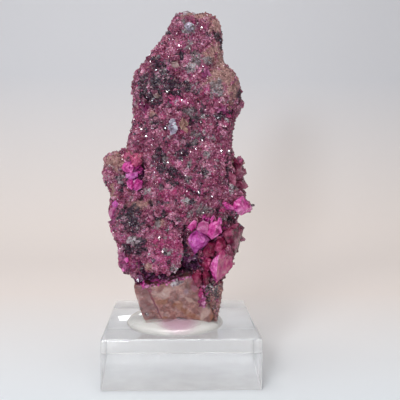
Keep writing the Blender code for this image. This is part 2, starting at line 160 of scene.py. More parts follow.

# Crystals shaped one by one: finish, then the corners whose hull is the crystal.
FACETED = {
    "right edge": ("magenta", (12.9, -7.9, 44), (15.3, -5.9, 45.4), (17.5, -4.9, 43.3), (18, -4.9, 42.4),
        (17.7, -4.4, 41.4), (15, -6.4, 40.3), (13.6, -7.6, 40.9), (12.4, -8.2, 41.8), (13.9, -9.6, 42.8),
        (16.2, -7.6, 42.2), (14.1, -1.4, 43.1), (17, -1.4, 43.9), (17.4, -0.9, 41.5), (15.2, -1.4, 40.5)),
    "beside the right edge": ("magenta", (9.8, -8.5, 43.6), (10.8, -8.7, 44), (12.1, -8.5, 43.3),
        (13.5, -8.3, 42.5), (12.7, -8.2, 41.4), (11.1, -8.5, 42.1), (11.5, -10, 43), (12.7, -9.5, 42.4),
        (11.1, -5.6, 43.2), (12.9, -5.6, 41.9)),
    "large front": ("violet", (1.4, -9.9, 34.8), (2.2, -9.9, 36.2), (3.6, -9.7, 37.1), (6, -9.7, 35.8),
        (7, -9.5, 34.5), (6.3, -9.7, 33.5), (3.1, -9.9, 30.9), (1.6, -10, 33.7), (3.6, -12.7, 35.7),
        (5.2, -12, 34.5), (3, -12.2, 33), (2.5, -6.8, 34.6), (5.8, -6.8, 34.6), (3.6, -6.8, 31.6)),
    "blade": ("magenta", (6.6, -11, 38.6), (8, -11.1, 39.5), (9.2, -10.9, 39.1), (9.8, -10.9, 36.7),
        (8.8, -11, 35.8), (7.2, -11, 34.8), (6, -11, 36.2), (7.9, -13.3, 37.6), (7.2, -12.6, 36.1),
        (7.2, -7.8, 37.8), (9.5, -7.8, 37.8), (8, -7.8, 35.3)),
    "spike": ("magenta", (8.3, -10.5, 39), (9.1, -10.1, 40.4), (9.6, -10.1, 40.1), (9.8, -10.4, 38.6),
        (8.8, -11.4, 38.5), (9.1, -11.2, 39.8), (9, -7.8, 39.1), (9.5, -7.8, 38.8)),
    "upper left": ("magenta", (1.2, -10.8, 37.8), (1.9, -10.8, 38.8), (2.9, -10.6, 39.7),
        (3.6, -10.6, 39.3), (3.4, -11, 37.8), (2.3, -11.2, 36.9), (2.6, -12.3, 38.6), (1.9, -8.7, 37.9),
        (3.2, -8.7, 38.4)),
    "dull middle": ("blush", (3.4, -10.5, 37.2), (3.9, -10.3, 38.7), (5.2, -10.1, 39.5), (6.5, -10.1, 38.9),
        (6.9, -10.4, 37.2), (6.2, -10.5, 35.7), (5.1, -10.6, 36.3), (5.1, -12.1, 38.1), (6.1, -11.8, 37.4),
        (4.5, -8, 37.8), (6.2, -8, 37.8), (5.7, -8, 36.3)),
    "right shoulder": ("ruddy", (9.9, -9.8, 36.1), (12.5, -8.2, 38.2), (14.3, -6.8, 38.6),
        (15.8, -5.8, 37.3), (15.4, -6, 35.9), (14.5, -6.4, 34.4), (14.4, -5.8, 31.5), (13.6, -5.8, 30.1),
        (12, -8.2, 32.4), (10.9, -9.6, 34.4), (12.1, -11.1, 37), (15, -7.3, 36.9), (13, -9.5, 33.8),
        (11.9, -4.2, 35.6), (14.6, -2.7, 36.7), (14.1, -2.7, 31.5), (12.2, -4.2, 33)),
    "great column": ("rose", (6.7, -10.1, 27.7), (7.6, -10.7, 29.8), (7.6, -10.2, 25.7), (8.5, -11.1, 24),
        (11.4, -9.2, 26.2), (12.8, -7.9, 27.5), (12.7, -7.7, 30.2), (12, -8.1, 31.2), (10.7, -9.1, 32.8),
        (9.1, -10.7, 32.3), (9, -13, 31.4), (8.4, -13.3, 27.7), (8.2, -6.3, 28.4), (11.9, -4.3, 29.6),
        (11.4, -4.8, 26.1), (8.7, -6.3, 24.8)),
    # The column's left side is this separate magenta piece, lighter than the rose right side: partly the
    # crystal's own colour, partly painted light on its lit face.
    "great column left": ("magenta", (6.7, -10.6, 27.8), (7.5, -11.2, 29.9), (8.9, -12.9, 31.5),
        (8.5, -13.6, 29.7), (8.4, -13.6, 27.5), (8.4, -11.4, 24.2), (7.5, -10.7, 25.8), (7.5, -12.8, 28.5),
        (8.1, -7.3, 28.6), (8.4, -7.3, 25)),
    # The dark wine crystal over the column is partly its own colour and partly painted shade, standing for
    # the shadow above the column.
    "over the column": ("wine", (4.9, -9.8, 31.6), (6.4, -10.2, 34), (8.4, -10.6, 34), (7.9, -10.6, 30.6),
        (6, -10.4, 30.2), (6.9, -12.2, 32.6), (6.4, -7, 31.8), (8.4, -7, 32.8)),
    "over the column, right": ("crimson", (7.7, -10.6, 32.2), (8.6, -10.2, 34.9), (10.2, -9.6, 35.2),
        (11.3, -9, 32.9), (9.6, -10.8, 31.2), (9.2, -12.3, 33.2), (8.8, -7, 33.4), (10.4, -7, 33.2)),
    "left of the column": ("crimson", (5.2, -9.4, 28.4), (6, -9.8, 30.4), (7.4, -10.2, 29.9),
        (7.1, -10, 27.2), (5.9, -9.6, 26.4), (6.6, -11.4, 28.6), (6.4, -6.6, 28), (6.9, -6.6, 27.7)),
    "below the cavity": ("wine", (2.3, -10.1, 25.8), (3.5, -10, 26.7), (4.6, -10, 26.4), (5.1, -10.2, 24.1),
        (4.1, -10.4, 22.6), (3.1, -10.6, 23.8), (3.7, -11.2, 25.7), (3.1, -8.3, 25), (4.6, -8.3, 24.7)),
    "below the cavity, right": ("wine", (5.1, -9.7, 26.5), (6.2, -9.7, 27.3), (7, -9.6, 25.6),
        (6.7, -9.7, 23.5), (5.7, -10, 22.8), (5.2, -10.1, 24.6), (5.9, -11, 25.6), (5.8, -8.3, 25.2),
        (6.6, -8.3, 24.7)),
    "hollow upper right": ("salmon", (-12.7, -8.2, 54.4), (-11.3, -8, 55.3), (-9.9, -7.9, 54.1),
        (-10, -7.9, 53.2), (-11.5, -8.3, 52.4), (-12.7, -8.3, 52.7), (-11.2, -9.8, 53.9),
        (-10.5, -9.2, 53.6), (-12.2, -5.5, 53.9), (-10.7, -5.5, 53.9)),
    "hollow upper left": ("magenta", (-15.1, -7.9, 52.1), (-14.5, -7.9, 53.4), (-13, -8.3, 53.6),
        (-11.9, -8.5, 52.4), (-12.4, -8.3, 51), (-14.2, -8.1, 51.1), (-13.2, -9.8, 52.5),
        (-14.4, -5.5, 52.3), (-12.9, -5.5, 52.1)),
    "hollow middle": ("violet", (-14.1, -7.6, 50.6), (-12.7, -7.9, 51.1), (-11.1, -7.7, 51.2),
        (-11, -7.7, 49.9), (-12.7, -7.9, 49.3), (-14, -7.8, 49.6), (-12.4, -9.1, 50.4), (-13.7, -5.4, 50.3),
        (-11.9, -5.4, 50.3)),
    "hollow lower left": ("magenta", (-13.9, -7.7, 48.7), (-13.3, -7.9, 49.5), (-12.3, -8.1, 49.2),
        (-11.9, -8.1, 47.7), (-12.5, -7.9, 46.7), (-13.6, -7.8, 47.4), (-12.8, -9.3, 48.2),
        (-13.4, -5.4, 48.1)),
    "hollow lower right": ("magenta", (-12.2, -8, 48.9), (-11.2, -8.1, 49.6), (-9.8, -7.9, 49),
        (-10, -7.9, 47.2), (-11.4, -8, 46.4), (-12.3, -8.1, 47.5), (-11.1, -9.8, 48.3), (-11.7, -5.4, 48.1),
        (-10.6, -5.4, 48.1)),
    "left edge": ("blush", (-18.6, -5.5, 40.7), (-18, -5.7, 41.9), (-16.8, -6.2, 42.6), (-16.1, -6.4, 41.3),
        (-17.1, -6.2, 39.5), (-18.1, -5.7, 39.2), (-17.1, -7.6, 41.4), (-18.1, -3.6, 40.8),
        (-17.1, -3.6, 40.5)),
    "left edge above": ("violet", (-17.6, -5.8, 43.3), (-16.6, -6, 44.1), (-15.8, -6.4, 43.1),
        (-16.3, -6.4, 42), (-17.5, -5.8, 42.1), (-16.6, -7.4, 43.1), (-17.3, -3.6, 42.9)),
}

# Plain rhombs: finish, centre, edges, turn in degrees.
CRYSTALS = (
    ("rosewood", (12.6, -5.4, 49.8), (2.6, 2.8, 2.6), (18, 30, -30)),
    ("rosewood", (15.2, -3.6, 48.3), (2.3, 2.4, 2.4), (36, 8, -44)),
    ("ruddy", (13.6, -3.4, 53.2), (2.4, 2.2, 2.4), (8, 54, -24)),
    ("cream", (-6.5, -7.7, 69.9), (0.7, 1.7, 1.2), (28, -34, 30)),
    ("cream", (-2, -7.3, 77.6), (0.8, 1.9, 1.7), (34, -22, 24)),
)

# Beds of small crystals: finish, x, z, half width, half height, how many, least and greatest edge.
# The plum beds, in the cavity right of the boss, in the slot under the boss and beside the left hollow, are
# near-black: partly the crystals' own colour, partly painted shade of those recesses.
BEDS = (
    ("magenta", 8.8, 38.4, 1.4, 1.2, 6, 0.6, 1.3), ("magenta", 5.8, 39.6, 2.4, 0.8, 6, 0.5, 1.2),
    ("magenta", 9.8, 36.2, 1.2, 1.6, 6, 0.6, 1.3), ("berry", 5.6, 37.6, 2.2, 1.8, 12, 0.6, 1.3),
    ("berry", 6.6, 35.4, 1.4, 1.2, 8, 0.6, 1.2), ("crimson", 8.4, 33.6, 2.4, 1.4, 16, 0.5, 1.3),
    ("rose", 8.6, 33.4, 2.6, 1.6, 10, 0.6, 1.2), ("rose", 6.2, 29.6, 1.2, 2, 6, 0.6, 1.1),
    ("ruddy", 12.6, 31, 1.4, 2.2, 14, 0.7, 1.6), ("wine", 5.8, 28.4, 1.3, 1.8, 16, 0.6, 1.3),
    ("wine", 5.2, 25.4, 1.8, 1.6, 16, 0.5, 1.3), ("plum", 2.6, 28.2, 2.6, 2, 40, 0.5, 1.2),
    ("berry", 12.4, 42, 2.4, 1, 8, 0.6, 1.2), ("ruddy", 14.4, 39.6, 1.4, 1, 8, 0.6, 1.3),
    ("salmon", -12.4, 55, 2.6, 0.7, 12, 0.5, 1.2), ("magenta", -12.8, 52, 1.9, 1.6, 14, 0.9, 1.8),
    ("berry", -12.2, 50.4, 1.9, 1.4, 16, 0.7, 1.4), ("violet", -12, 48.4, 1.7, 1.5, 8, 0.8, 1.5),
    ("berry", -12.2, 48, 1.9, 1.8, 12, 0.5, 1.2), ("plum", -10.6, 50.6, 1.3, 1.6, 12, 0.5, 1.2),
    ("frost", -15.4, 49.4, 1.3, 1.1, 10, 0.4, 0.8), ("berry", -17.2, 40, 1, 3.6, 18, 0.5, 1.2),
    ("berry", -14.8, 28.4, 1.4, 1.8, 14, 0.6, 1.4), ("magenta", -14.6, 28, 1.4, 1.8, 10, 0.5, 1.1),
    ("berry", -11.4, 28.4, 1.2, 1.6, 12, 0.5, 1.1), ("plum", -9.6, 24.6, 2.2, 1.4, 34, 0.5, 1.1),
    ("magenta", -9.4, 23.6, 1.2, 0.9, 18, 0.3, 0.7), ("plum", -6, 24.4, 3, 0.7, 14, 0.5, 1),
    ("rosewood", 14.6, 50.4, 1.4, 3.6, 16, 0.8, 1.7), ("berry", -9.8, 67.2, 1.4, 1.2, 9, 0.5, 1.2),
    ("berry", 9.8, 67, 2.2, 0.9, 10, 0.5, 1.2), ("berry", 5.5, 75.9, 1, 1.1, 5, 0.5, 1),
    ("amber", 0.3, 62.4, 0.8, 1.1, 9, 0.8, 1.6), ("lilac", -2.5, 62.4, 0.8, 1.7, 34, 0.4, 0.9),
    ("frost", -12, 34.2, 1.5, 0.8, 12, 0.5, 1), ("lilac", 1.5, 87.2, 1.1, 1, 16, 0.4, 0.8),
)
# Rows of them on the foot: finish, start (x, z), end (x, z), spread, how many, least and greatest edge.
ROWS = (
    ("blush", (-9.6, 22.5), (2.3, 25.5), 0.22, 130, 0.22, 0.45),
    ("magenta", (-9.6, 22.7), (-4, 23.9), 0.3, 40, 0.25, 0.5),
    ("frost", (-2.4, 23.7), (0.2, 24.1), 0.45, 26, 0.3, 0.7),
    ("blush", (5.7, 24), (5.2, 18.6), 0.75, 60, 0.3, 0.8),
    ("berry", (5.6, 24.2), (5.1, 18.4), 0.9, 30, 0.3, 0.8),
    ("rose", (4.6, 23.4), (4.9, 20.2), 0.6, 26, 0.3, 0.8),
)
# Frost on the crown: finish, x, y, half width, half depth, how many, least and greatest edge.
CROWN = (
    ("frost", 0.4, -3.2, 2.4, 2, 30, 0.4, 0.9),
    ("umber", 5.4, -3, 3, 2.4, 30, 0.3, 0.7),
)
# Small crystals are sown from here, back onto the front or down onto the crown.
SOWN_FROM_Y, SOWN_FROM_Z = -30, 110
BACKWARD, DOWNWARD = (0, 1, 0), (0, 0, -1)

# Foot blocks: where the front lies, depth, and the front outline's points (x, z).
FOOT_TOP, FOOT_BOTTOM = 24, 12.7
FOOT_WAIST = 0.13
FOOT_BLOCKS = {
    "broad_foot_block": (-10.2, 13.4, (
        (-8.8, 22.5), (2.4, 25.5), (4.8, 21.8), (8.2, 15.6), (7, 13.3), (4, 14.2), (-0.9, 15.2),
        (-2.6, 13.3), (-4.2, FOOT_BOTTOM), (-6, 17),
    )),
    "slab_foot_block": (-9.6, 12.2, (
        (-11.9, 23.2), (-8.4, 23.4), (-5.8, 17.4), (-3.9, FOOT_BOTTOM), (-8.6, FOOT_BOTTOM), (-9.7, 15.4),
        (-10.9, 18.6), (-11.7, 21.3),
    )),
    "heel_foot_block": (-8.4, 13, (
        (4.4, 22.6), (10.4, 23.6), (9.8, 18), (8.6, FOOT_BOTTOM), (6.2, FOOT_BOTTOM), (5.2, 16),
    )),
}
FOOT_EDGE, FOOT_VOXEL, FOOT_RISE = 0.22 * MM, 0.16 * MM, 0.35 * MM
LEDGE_SIZE, LEDGE_HEIGHT, LEDGES = 2.6 * MM, 0.1 * MM, 3
PIT_SIZE, PIT_HEIGHT = 0.7 * MM, 0.05 * MM
STRIPE_WIDTH, STRIPE_HEIGHT, STRIPE_SLANT = 0.35 * MM, 0.02 * MM, (0.35, 0.1, 0.93)

# Patches of colour on the front: x, z, half width, half height, and a tilt in degrees if it has one.
PATCH_RAGGEDNESS, PATCH_RAGGED_SIZE, PATCH_EDGE = 0.9, 1.3 * MM, 0.9
PATCHES = {
    "dark": (
        (-5.6, 77.3, 1.9, 1.6), (-4.6, 73.5, 4, 3), (-9, 70.5, 2.4, 3), (-12.8, 39.6, 3.6, 3.4),
        (-9.6, 73, 2, 2.6, 10), (-3.1, 74.9, 1.7, 1.1, -20), (-1.6, 72.2, 3, 2, -15),
        (-5.6, 71.9, 2.4, 1.6), (-6.8, 68.9, 2, 1.8), (-0.7, 80.3, 1.4, 1.3), (8.8, 85, 1.3, 0.8, -40),
        (9.8, 65.9, 2.8, 1.5, 15), (3.2, 71, 1.2, 1), (-7.1, 63.4, 1.3, 1.4), (3.5, 63.8, 2, 0.9),
        (1.7, 58, 2.9, 1, 20), (-0.3, 55.7, 1.5, 1.5), (-6.1, 55.3, 1.2, 2.1, -20), (-5, 52, 2, 1.5, -20),
        (-2.4, 51, 2.6, 1.6, -20), (-2.6, 48.9, 1.8, 1.2), (4.9, 51.3, 1.2, 1.2), (-10.2, 51, 1.1, 2.5, 10),
        (-13.4, 41.3, 2.4, 1.8), (-12.2, 38.3, 3.2, 2.2), (-10.8, 32.7, 3, 2.2), (-13.1, 31.9, 2, 1.6),
        # The patches on this line and the next are painted shade: in the hole and the gap by the right edge
        # crystal, on two clefts, in the cavity right of the boss, and thin strips along the right edge for
        # its side in shadow.
        (9.2, 41.9, 0.6, 0.6), (13.2, 39.2, 1.4, 0.9), (-4.9, 40.2, 2.1, 0.3, 5), (-10.4, 44.9, 0.6, 0.8),
        (2.7, 28.4, 3.1, 1.8), (14.3, 70.4, 0.7, 2, -10), (9.6, 83.7, 0.5, 1.5, 10),
    ),
    "pale": (
        (1.2, 87.2, 1.8, 1.5), (1.8, 82.8, 0.9, 1.5), (3, 79.2, 1.4, 1.8, -20), (1.6, 76.9, 1.5, 0.9, 10),
        (6.4, 78.5, 1.1, 1), (8.2, 71.8, 2.2, 2.2), (1.7, 72, 1.3, 1), (1.7, 66.3, 2, 1),
        (3.2, 65, 2.3, 0.9, -8), (-6.6, 73.3, 1.4, 1.2), (-10.1, 70.6, 1, 0.8), (3, 60.6, 1.3, 0.8),
        (6.7, 59.9, 1, 0.8), (1.5, 53.1, 0.8, 0.9), (1.3, 49.7, 1, 1.3), (-4, 54.1, 0.9, 1.5),
        (-15.4, 49.6, 1, 1), (12.8, 46.9, 1, 1), (14.6, 51.9, 0.8, 1), (4.4, 41.5, 2.8, 1.4, 8),
        (10.9, 39.6, 1.5, 1.2), (-9.1, 46.7, 1.2, 0.9), (5.7, 55.7, 1, 1), (-6.2, 38.1, 1, 0.8),
        (1.6, 43.9, 1.6, 0.8), (-12, 34.2, 1.9, 1.1, 20), (0.4, 30.4, 1, 1.2), (-1.6, 27.2, 1.2, 1.6, -30),
        (-3.6, 31.6, 1.2, 1),
    ),
    "tan": (
        (8.7, 81.2, 1.8, 2.8, 15), (9.9, 76.1, 3.3, 3.3), (8.2, 74.2, 3.4, 2.8), (6.8, 80.2, 1.8, 2.6, 10),
        (12.6, 72.4, 2.3, 4.6, -10), (11.6, 75.4, 2.8, 3.6, -15), (9.4, 79.6, 2, 3.2, 12),
        (3.3, 90.4, 4.8, 1), (7.8, 88, 2.1, 2.4, 20), (-17.2, 53.8, 3, 2.7, 20), (-13, 55.5, 1.6, 0.8, -25),
        (-17.7, 46.2, 0.9, 2.1), (-10.7, 43, 3.6, 1.3, 5), (-5.4, 38.5, 1.5, 1), (-8.2, 27.5, 1.7, 1.4),
        (13, 53.2, 1.3, 1.3), (-2, 78.1, 0.8, 1.5, -20), (-6.6, 69.9, 0.8, 0.9), (-7.6, 65.5, 1, 0.8),
    ),
    "bright": (
        (-9.6, 67.1, 1.5, 1.5), (5.4, 76.2, 1.2, 1.5), (10.5, 67.1, 1.8, 0.9, -5), (-1.6, 68.5, 3, 1.2),
        (-0.9, 81.6, 1.4, 1.1), (-17.7, 41.5, 1, 1.6), (-14.2, 27.8, 2, 1.7), (-15.1, 34.7, 1.4, 1.1),
        (-9.4, 23.6, 2, 1), (-3.8, 31.5, 4.2, 5.4), (-12.4, 51, 1.8, 3.2), (7.5, 36.5, 4, 3),
        (-3, 46, 3, 1, 10), (3, 46.5, 3, 1, -10),
    ),
}
# The back is mottled by broad and fine noise. Specks lie anywhere where their noise is above these.
BACK_BROAD, BACK_FINE = 9 * MM, 3 * MM
SPECKS = {"dark": 0.3, "pale": 0.4, "tan": 0.42, "bright": 0.22}

# Patches of the foot's front, given the same way.
FOOT_RAGGEDNESS, FOOT_RAGGED_SIZE, FOOT_PATCH_EDGE = 1.1, 1.6 * MM, 0.7
FOOT_PATCHES = {
    "rust": (
        (-5.4, 19, 1.7, 0.7), (-1.4, 18.4, 2, 0.7), (0.1, 17.2, 1.5, 0.6, -30), (2.6, 15.7, 2, 0.6, -20),
        (-4.1, 15.2, 1, 0.5), (7.6, 14.9, 1.2, 1),
    ),
    "pale": (
        (-1, 23.8, 1.5, 0.6, 8), (-11, 19.5, 0.7, 3.5, 22), (1.3, 20, 1.7, 0.5, -35),
        (-0.9, 23.9, 1.3, 0.5, 12), (-5.9, 20.8, 1.4, 1), (5.8, 16.4, 1, 1.5), (-8.3, 13.9, 1, 0.5),
        (-3.9, 21.8, 1.7, 1),
    ),
    "lilac": ((1.2, 21.2, 1.2, 1.2),),
    "russet": (
        (-8.3, 17.8, 1.7, 5.6, 25), (-9.4, 20.4, 0.5, 2.4, 10),
    ),
    "wine": (
        (-3.4, 24.7, 6.4, 0.8, 14), (3, 24.5, 1, 2.2, 15), (3.4, 23.6, 1.9, 2.4, 15),
        (4.3, 21.3, 0.5, 2.2, 5), (-6.6, 18.2, 0.35, 5, 25), (-10.1, 23.3, 1.5, 0.7), (-7.9, 22, 0.7, 0.7),
    ),
    "dark": (
        (8.3, 22.5, 1, 1.7), (8.8, 19.5, 0.7, 2), (6.5, 20.5, 0.7, 2.2),
    ),
}


# ---------------------------------------- small helpers


def only(obj):
    """Selects one object and makes it active."""
    bpy.ops.object.select_all(action="DESELECT")
    obj.select_set(True)
    bpy.context.view_layer.objects.active = obj


def named(name):
    """The active object, such as a primitive just added, under its own name."""
    obj = bpy.context.object
    obj.name = obj.data.name = name
    return obj


def put(name, data):
    """A new object that stands in the scene."""
    obj = bpy.data.objects.new(name, data)
    bpy.context.scene.collection.objects.link(obj)
    return obj


@contextmanager
def editing(obj, everything=True):
    """Edit mode on one object, with all of its mesh selected or with what is selected already."""
    only(obj)
    bpy.ops.object.mode_set(mode="EDIT")
    if everything:
        bpy.ops.mesh.select_all(action="SELECT")
    yield
    bpy.ops.object.mode_set(mode="OBJECT")


def modify(obj, kind, **settings):
    """Gives the object's mesh one modifier for good."""
    modifier = obj.modifiers.new(kind.lower(), kind)
    for key, value in settings.items():
        setattr(modifier, key, value)
    only(obj)
    bpy.ops.object.modifier_apply(modifier=modifier.name)


def settle(obj):
    """Puts the object's place, turn and scale into its mesh."""
    only(obj)
    bpy.ops.object.transform_apply(location=True, rotation=True, scale=True)


def join(objects, name):
    only(objects[0])
    for obj in objects:
        obj.select_set(True)
    if len(objects) > 1:
        bpy.ops.object.join()
    return named(name)


def give(obj, finish):
    obj.data.materials.clear()
    obj.data.materials.append(finish.material)


def coordinates(mesh):
    values = np.empty(len(mesh.vertices) * 3, np.float32)
    mesh.vertices.foreach_get("co", values)
    return values.reshape(-1, 3)


def normals_of(mesh):
    return np.array([vertex.normal[:] for vertex in mesh.vertices], np.float32)


def move_vertices(mesh, points):
    mesh.vertices.foreach_set("co", points.ravel())
    mesh.update()


def store(mesh, name, values):
    """Keeps one number for each vertex as an attribute that materials read."""
    attribute = mesh.attributes.new(name, "FLOAT", "POINT")
    attribute.data.foreach_set("value", np.asarray(values, np.float32))


def unit(vectors):
    return vectors / np.linalg.norm(vectors, axis=1)[:, None]


def smooth_step(values):
    values = np.clip(values, 0, 1)
    return values * values * (3 - 2 * values)


def noise_of(points, size, seed):
    """Smooth noise from -1 to 1 at each point."""
    shift = Vector((seed * 7.1, seed * 3.7, seed * 5.3))
    return np.array([noise.noise(Vector(p) / size + shift) for p in points], np.float32)


def cells_of(points, size):
    """Rounded cells: 1 at the middle of each and 0 where two meet."""
    found = [noise.voronoi(Vector(p) / size)[0] for p in points]
    return np.array([1 - near / max(second, 1e-6) for near, second, *_ in found], np.float32)


def tree_of(objects):
    """One search tree over the faces of several objects that stand unturned at the origin."""
    places, faces = [], []
    for obj in objects:
        first = len(places)
        places.extend(vertex.co[:] for vertex in obj.data.vertices)
        faces.extend([first + v for v in face.vertices] for face in obj.data.polygons)
    return BVHTree.FromPolygons(places, faces)


def distances(points, tree, reach):
    """How far each point is from the tree's faces, up to reach."""
    found = (tree.find_nearest(Vector(p), reach)[3] for p in points)
    return np.array([reach if d is None else d for d in found], np.float32)


# ---------------------------------------- shader nodes


class Wire:
    """One output of a shader node. Arithmetic on it adds Math nodes."""

    def __init__(self, finish, socket):
        self.finish = finish
        self.socket = socket

    def math(self, operation, *values):
        return self.finish.node("Math", {"operation": operation}, dict(enumerate(values)))

    def __add__(self, other):
        return self.math("ADD", self, other)

    def __radd__(self, other):
        return self.math("ADD", other, self)

    def __sub__(self, other):
        return self.math("SUBTRACT", self, other)

    def __rsub__(self, other):
        return self.math("SUBTRACT", other, self)

    def __mul__(self, other):
        return self.math("MULTIPLY", self, other)

    def __rmul__(self, other):
        return self.math("MULTIPLY", other, self)

    def clamped(self):
        return self.math("MINIMUM", self.math("MAXIMUM", self, 0), 1)


class Finish:
    """A material whose Principled shader is fed by nodes. Its constants are the shader's own sockets."""

    def __init__(self, name, **constants):
        self.material = bpy.data.materials.new(name)
        self.material.use_nodes = True
        self.tree = self.material.node_tree
        self.shader = self.tree.nodes["Principled BSDF"]
        for key, value in constants.items():
            self.set(key.replace("_", " ").title().replace("Ior", "IOR"), value)

    def node(self, kind, settings=None, inputs=None, output=0):
        """Adds a node, makes its settings, then fills its sockets with values or links."""
        made = self.tree.nodes.new("ShaderNode" + kind)
        for key, value in (settings or {}).items():
            if key == "stops":
                set_stops(made.color_ramp, value)
            else:
                setattr(made, key, value)
        for key, value in (inputs or {}).items():
            self.feed(made.inputs[key], value)
        return Wire(self, made.outputs[output])

    def feed(self, socket, value):
        if isinstance(value, Wire):
            self.tree.links.new(value.socket, socket)
        else:
            socket.default_value = value

    def set(self, socket, value):
        self.feed(self.shader.inputs[socket], value)

    def place(self):
        return self.node("TexCoord", output="Object")

    def along(self, axis):
        return self.node("SeparateXYZ", None, {"Vector": self.place()}, output=axis)

    def attribute(self, name):
        return self.node("Attribute", {"attribute_name": name}, output="Fac")

    def noise(self, size, detail, roughness=0.55):
        inputs = {"Vector": self.place(), "Scale": 1 / size, "Detail": detail, "Roughness": roughness}
        return self.node("TexNoise", None, inputs)

    def vectors(self, operation, *values, output=0):
        return self.node("VectorMath", {"operation": operation}, dict(enumerate(values)), output)

    def facets(self, size, lean):
        """Height of flat, randomly tilted facets, one in each cell, and a random number for each."""
        place = self.place()
        cell = self.node("TexVoronoi", None, {"Vector": place, "Scale": 1 / size}, "Position")
        chance = Wire(self, cell.socket.node.outputs["Color"])
        tilt = self.vectors("SUBTRACT", chance, (0.5, 0.5, 0.5))
        height = self.vectors("DOT_PRODUCT", self.vectors("SUBTRACT", place, cell), tilt, output="Value")
        return height * lean, self.node("SeparateColor", None, {"Color": chance}, output="Red")

    def ramp(self, factor, *stops):
        return self.node("ValToRGB", {"stops": stops}, {"Fac": factor})

    def mix(self, factor, first, second, blend="MIX"):
        """Mixes two colours."""
        settings = {"data_type": "RGBA", "blend_type": blend}
        first, second = (c if isinstance(c, Wire) else (*c, 1) for c in (first, second))
        return self.node("Mix", settings, {0: factor, 6: first, 7: second}, output=2)

    def relief(self, facets, *fine):
        """Bumps the surface by its facets' height, over a finer height with its distance and strength."""
        inputs = {"Height": facets, "Distance": 1, "Strength": 1}
        if fine:
            inputs["Normal"] = self.node("Bump", None, dict(zip(("Height", "Distance", "Strength"), fine)))
        self.set("Normal", self.node("Bump", None, inputs))


def set_stops(ramp, stops):
    while len(ramp.elements) < len(stops):
        ramp.elements.new(0.5)
    for element, (position, colour) in zip(ramp.elements, stops):
        element.position = position
        element.color = (*colour, 1)


# ---------------------------------------- where each colour lies


def patch_weight(points, ragged, patches, edge=PATCH_EDGE):
    """How much each point lies in any of these patches of the front, from 0 to 1."""
    weight = np.zeros(len(points), np.float32)
    for x, z, half_width, half_height, *tilt in patches:
        turn = math.radians(tilt[0]) if tilt else 0
        dx, dz = points[:, 0] / MM - x, points[:, 2] / MM - z
        across = (dx * math.cos(turn) + dz * math.sin(turn)) / half_width
        along = (dz * math.cos(turn) - dx * math.sin(turn)) / half_height
        distance = np.hypot(across, along)
        weight = np.maximum(weight, smooth_step((1 + edge / 3 - distance + ragged) / edge))
    return weight


def add_share(weights, name, share):
    weights[name] = np.maximum(weights[name], share)


def colour_weights(points, normals):
    """Shares of dark, pale, tan and bright mineral at each point, with painted shade in some dark patches:
    patches, then fine specks anywhere.
    """
    ragged = PATCH_RAGGEDNESS * noise_of(points, PATCH_RAGGED_SIZE, 1)
    front = smooth_step((0.35 - normals[:, 1]) / 0.5) * smooth_step((3 * MM - points[:, 1]) / (4 * MM))
    weights = {name: front * patch_weight(points, ragged, patches) for name, patches in PATCHES.items()}
    behind = 1 - front
    broad = noise_of(points, BACK_BROAD, 2)
    fine = noise_of(points, BACK_FINE, 3)
    add_share(weights, "tan", behind * smooth_step((broad + 0.6 * fine + 0.35) / 0.4))
    add_share(weights, "dark", behind * smooth_step((-broad + 0.8 * fine - 0.45) / 0.3))
    add_share(weights, "pale", behind * smooth_step((fine - 0.4) / 0.2))
    plain = weights["tan"].copy()
    for seed, (name, threshold) in enumerate(SPECKS.items(), 20):
        speck = smooth_step((noise_of(points, SPECK_SIZE, seed) - threshold) / 0.2)
        add_share(weights, name, 0.7 * speck * (1 - 0.8 * plain))
    for name in ("dark", "pale"):
        weights[name] = np.minimum(1.25 * weights[name], 1)
    return weights


# Painted shade: deep in a cleft, the surface takes the dark mineral's colour.
def paint_cleft_shade(weights, cleft):
    add_share(weights, "dark", smooth_step(cleft * 1.6 - 0.6))


# ---------------------------------------- finishes

WINE = (0.31, 0.064, 0.135)
SLATE = (0.058, 0.031, 0.05)
ASH = (0.27, 0.2, 0.21)
# Each mineral's deepest colour, where its body colour lies, the body colour and the lightest.
MINERALS = {
    "plain": ((0.085, 0.009, 0.032), 0.55, WINE, (0.72, 0.3, 0.43)),
    "bright": (WINE, 0.5, (0.4, 0.034, 0.145), (0.66, 0.2, 0.38)),
    "tan": ((0.24, 0.105, 0.095), 0.5, (0.4, 0.205, 0.185), (0.6, 0.36, 0.31)),
    "pale": (SLATE, 0.5, ASH, (0.5, 0.46, 0.49)),
    "dark": ((0.03, 0.01, 0.026), 0.8, SLATE, ASH),
}


def mineral_colour(finish, tint):
    """Wine-pink dolomite, turned bright, tan, pale or dark by the piece's attributes. The dark attribute
    also holds painted shade.
    """
    colour = None
    for name, (deep, middle, body, light) in MINERALS.items():
        mineral = finish.ramp(tint, (0, deep), (middle, body), (1, light))
        colour = finish.mix(finish.attribute(name), colour, mineral) if colour else mineral
    return colour


def rock_finish():
    finish = Finish("rock", specular_ior_level=0.4)
    grain = finish.noise(0.5 * MM, 4, 0.65)
    height, chance = finish.facets(FACET_SIZE, 2.4)
    # Painted shade: the tint is lowered in the clefts and where clumps meet.
    tint = (grain * 1.1 - 0.2 + chance * 0.3 - finish.attribute("cleft") * 0.3).clamped()
    finish.set("Base Color", mineral_colour(finish, tint))
    finish.set("Roughness", 0.2 + grain * 0.4)
    finish.relief(height, grain, 0.2 * MM, 0.6)
    return finish


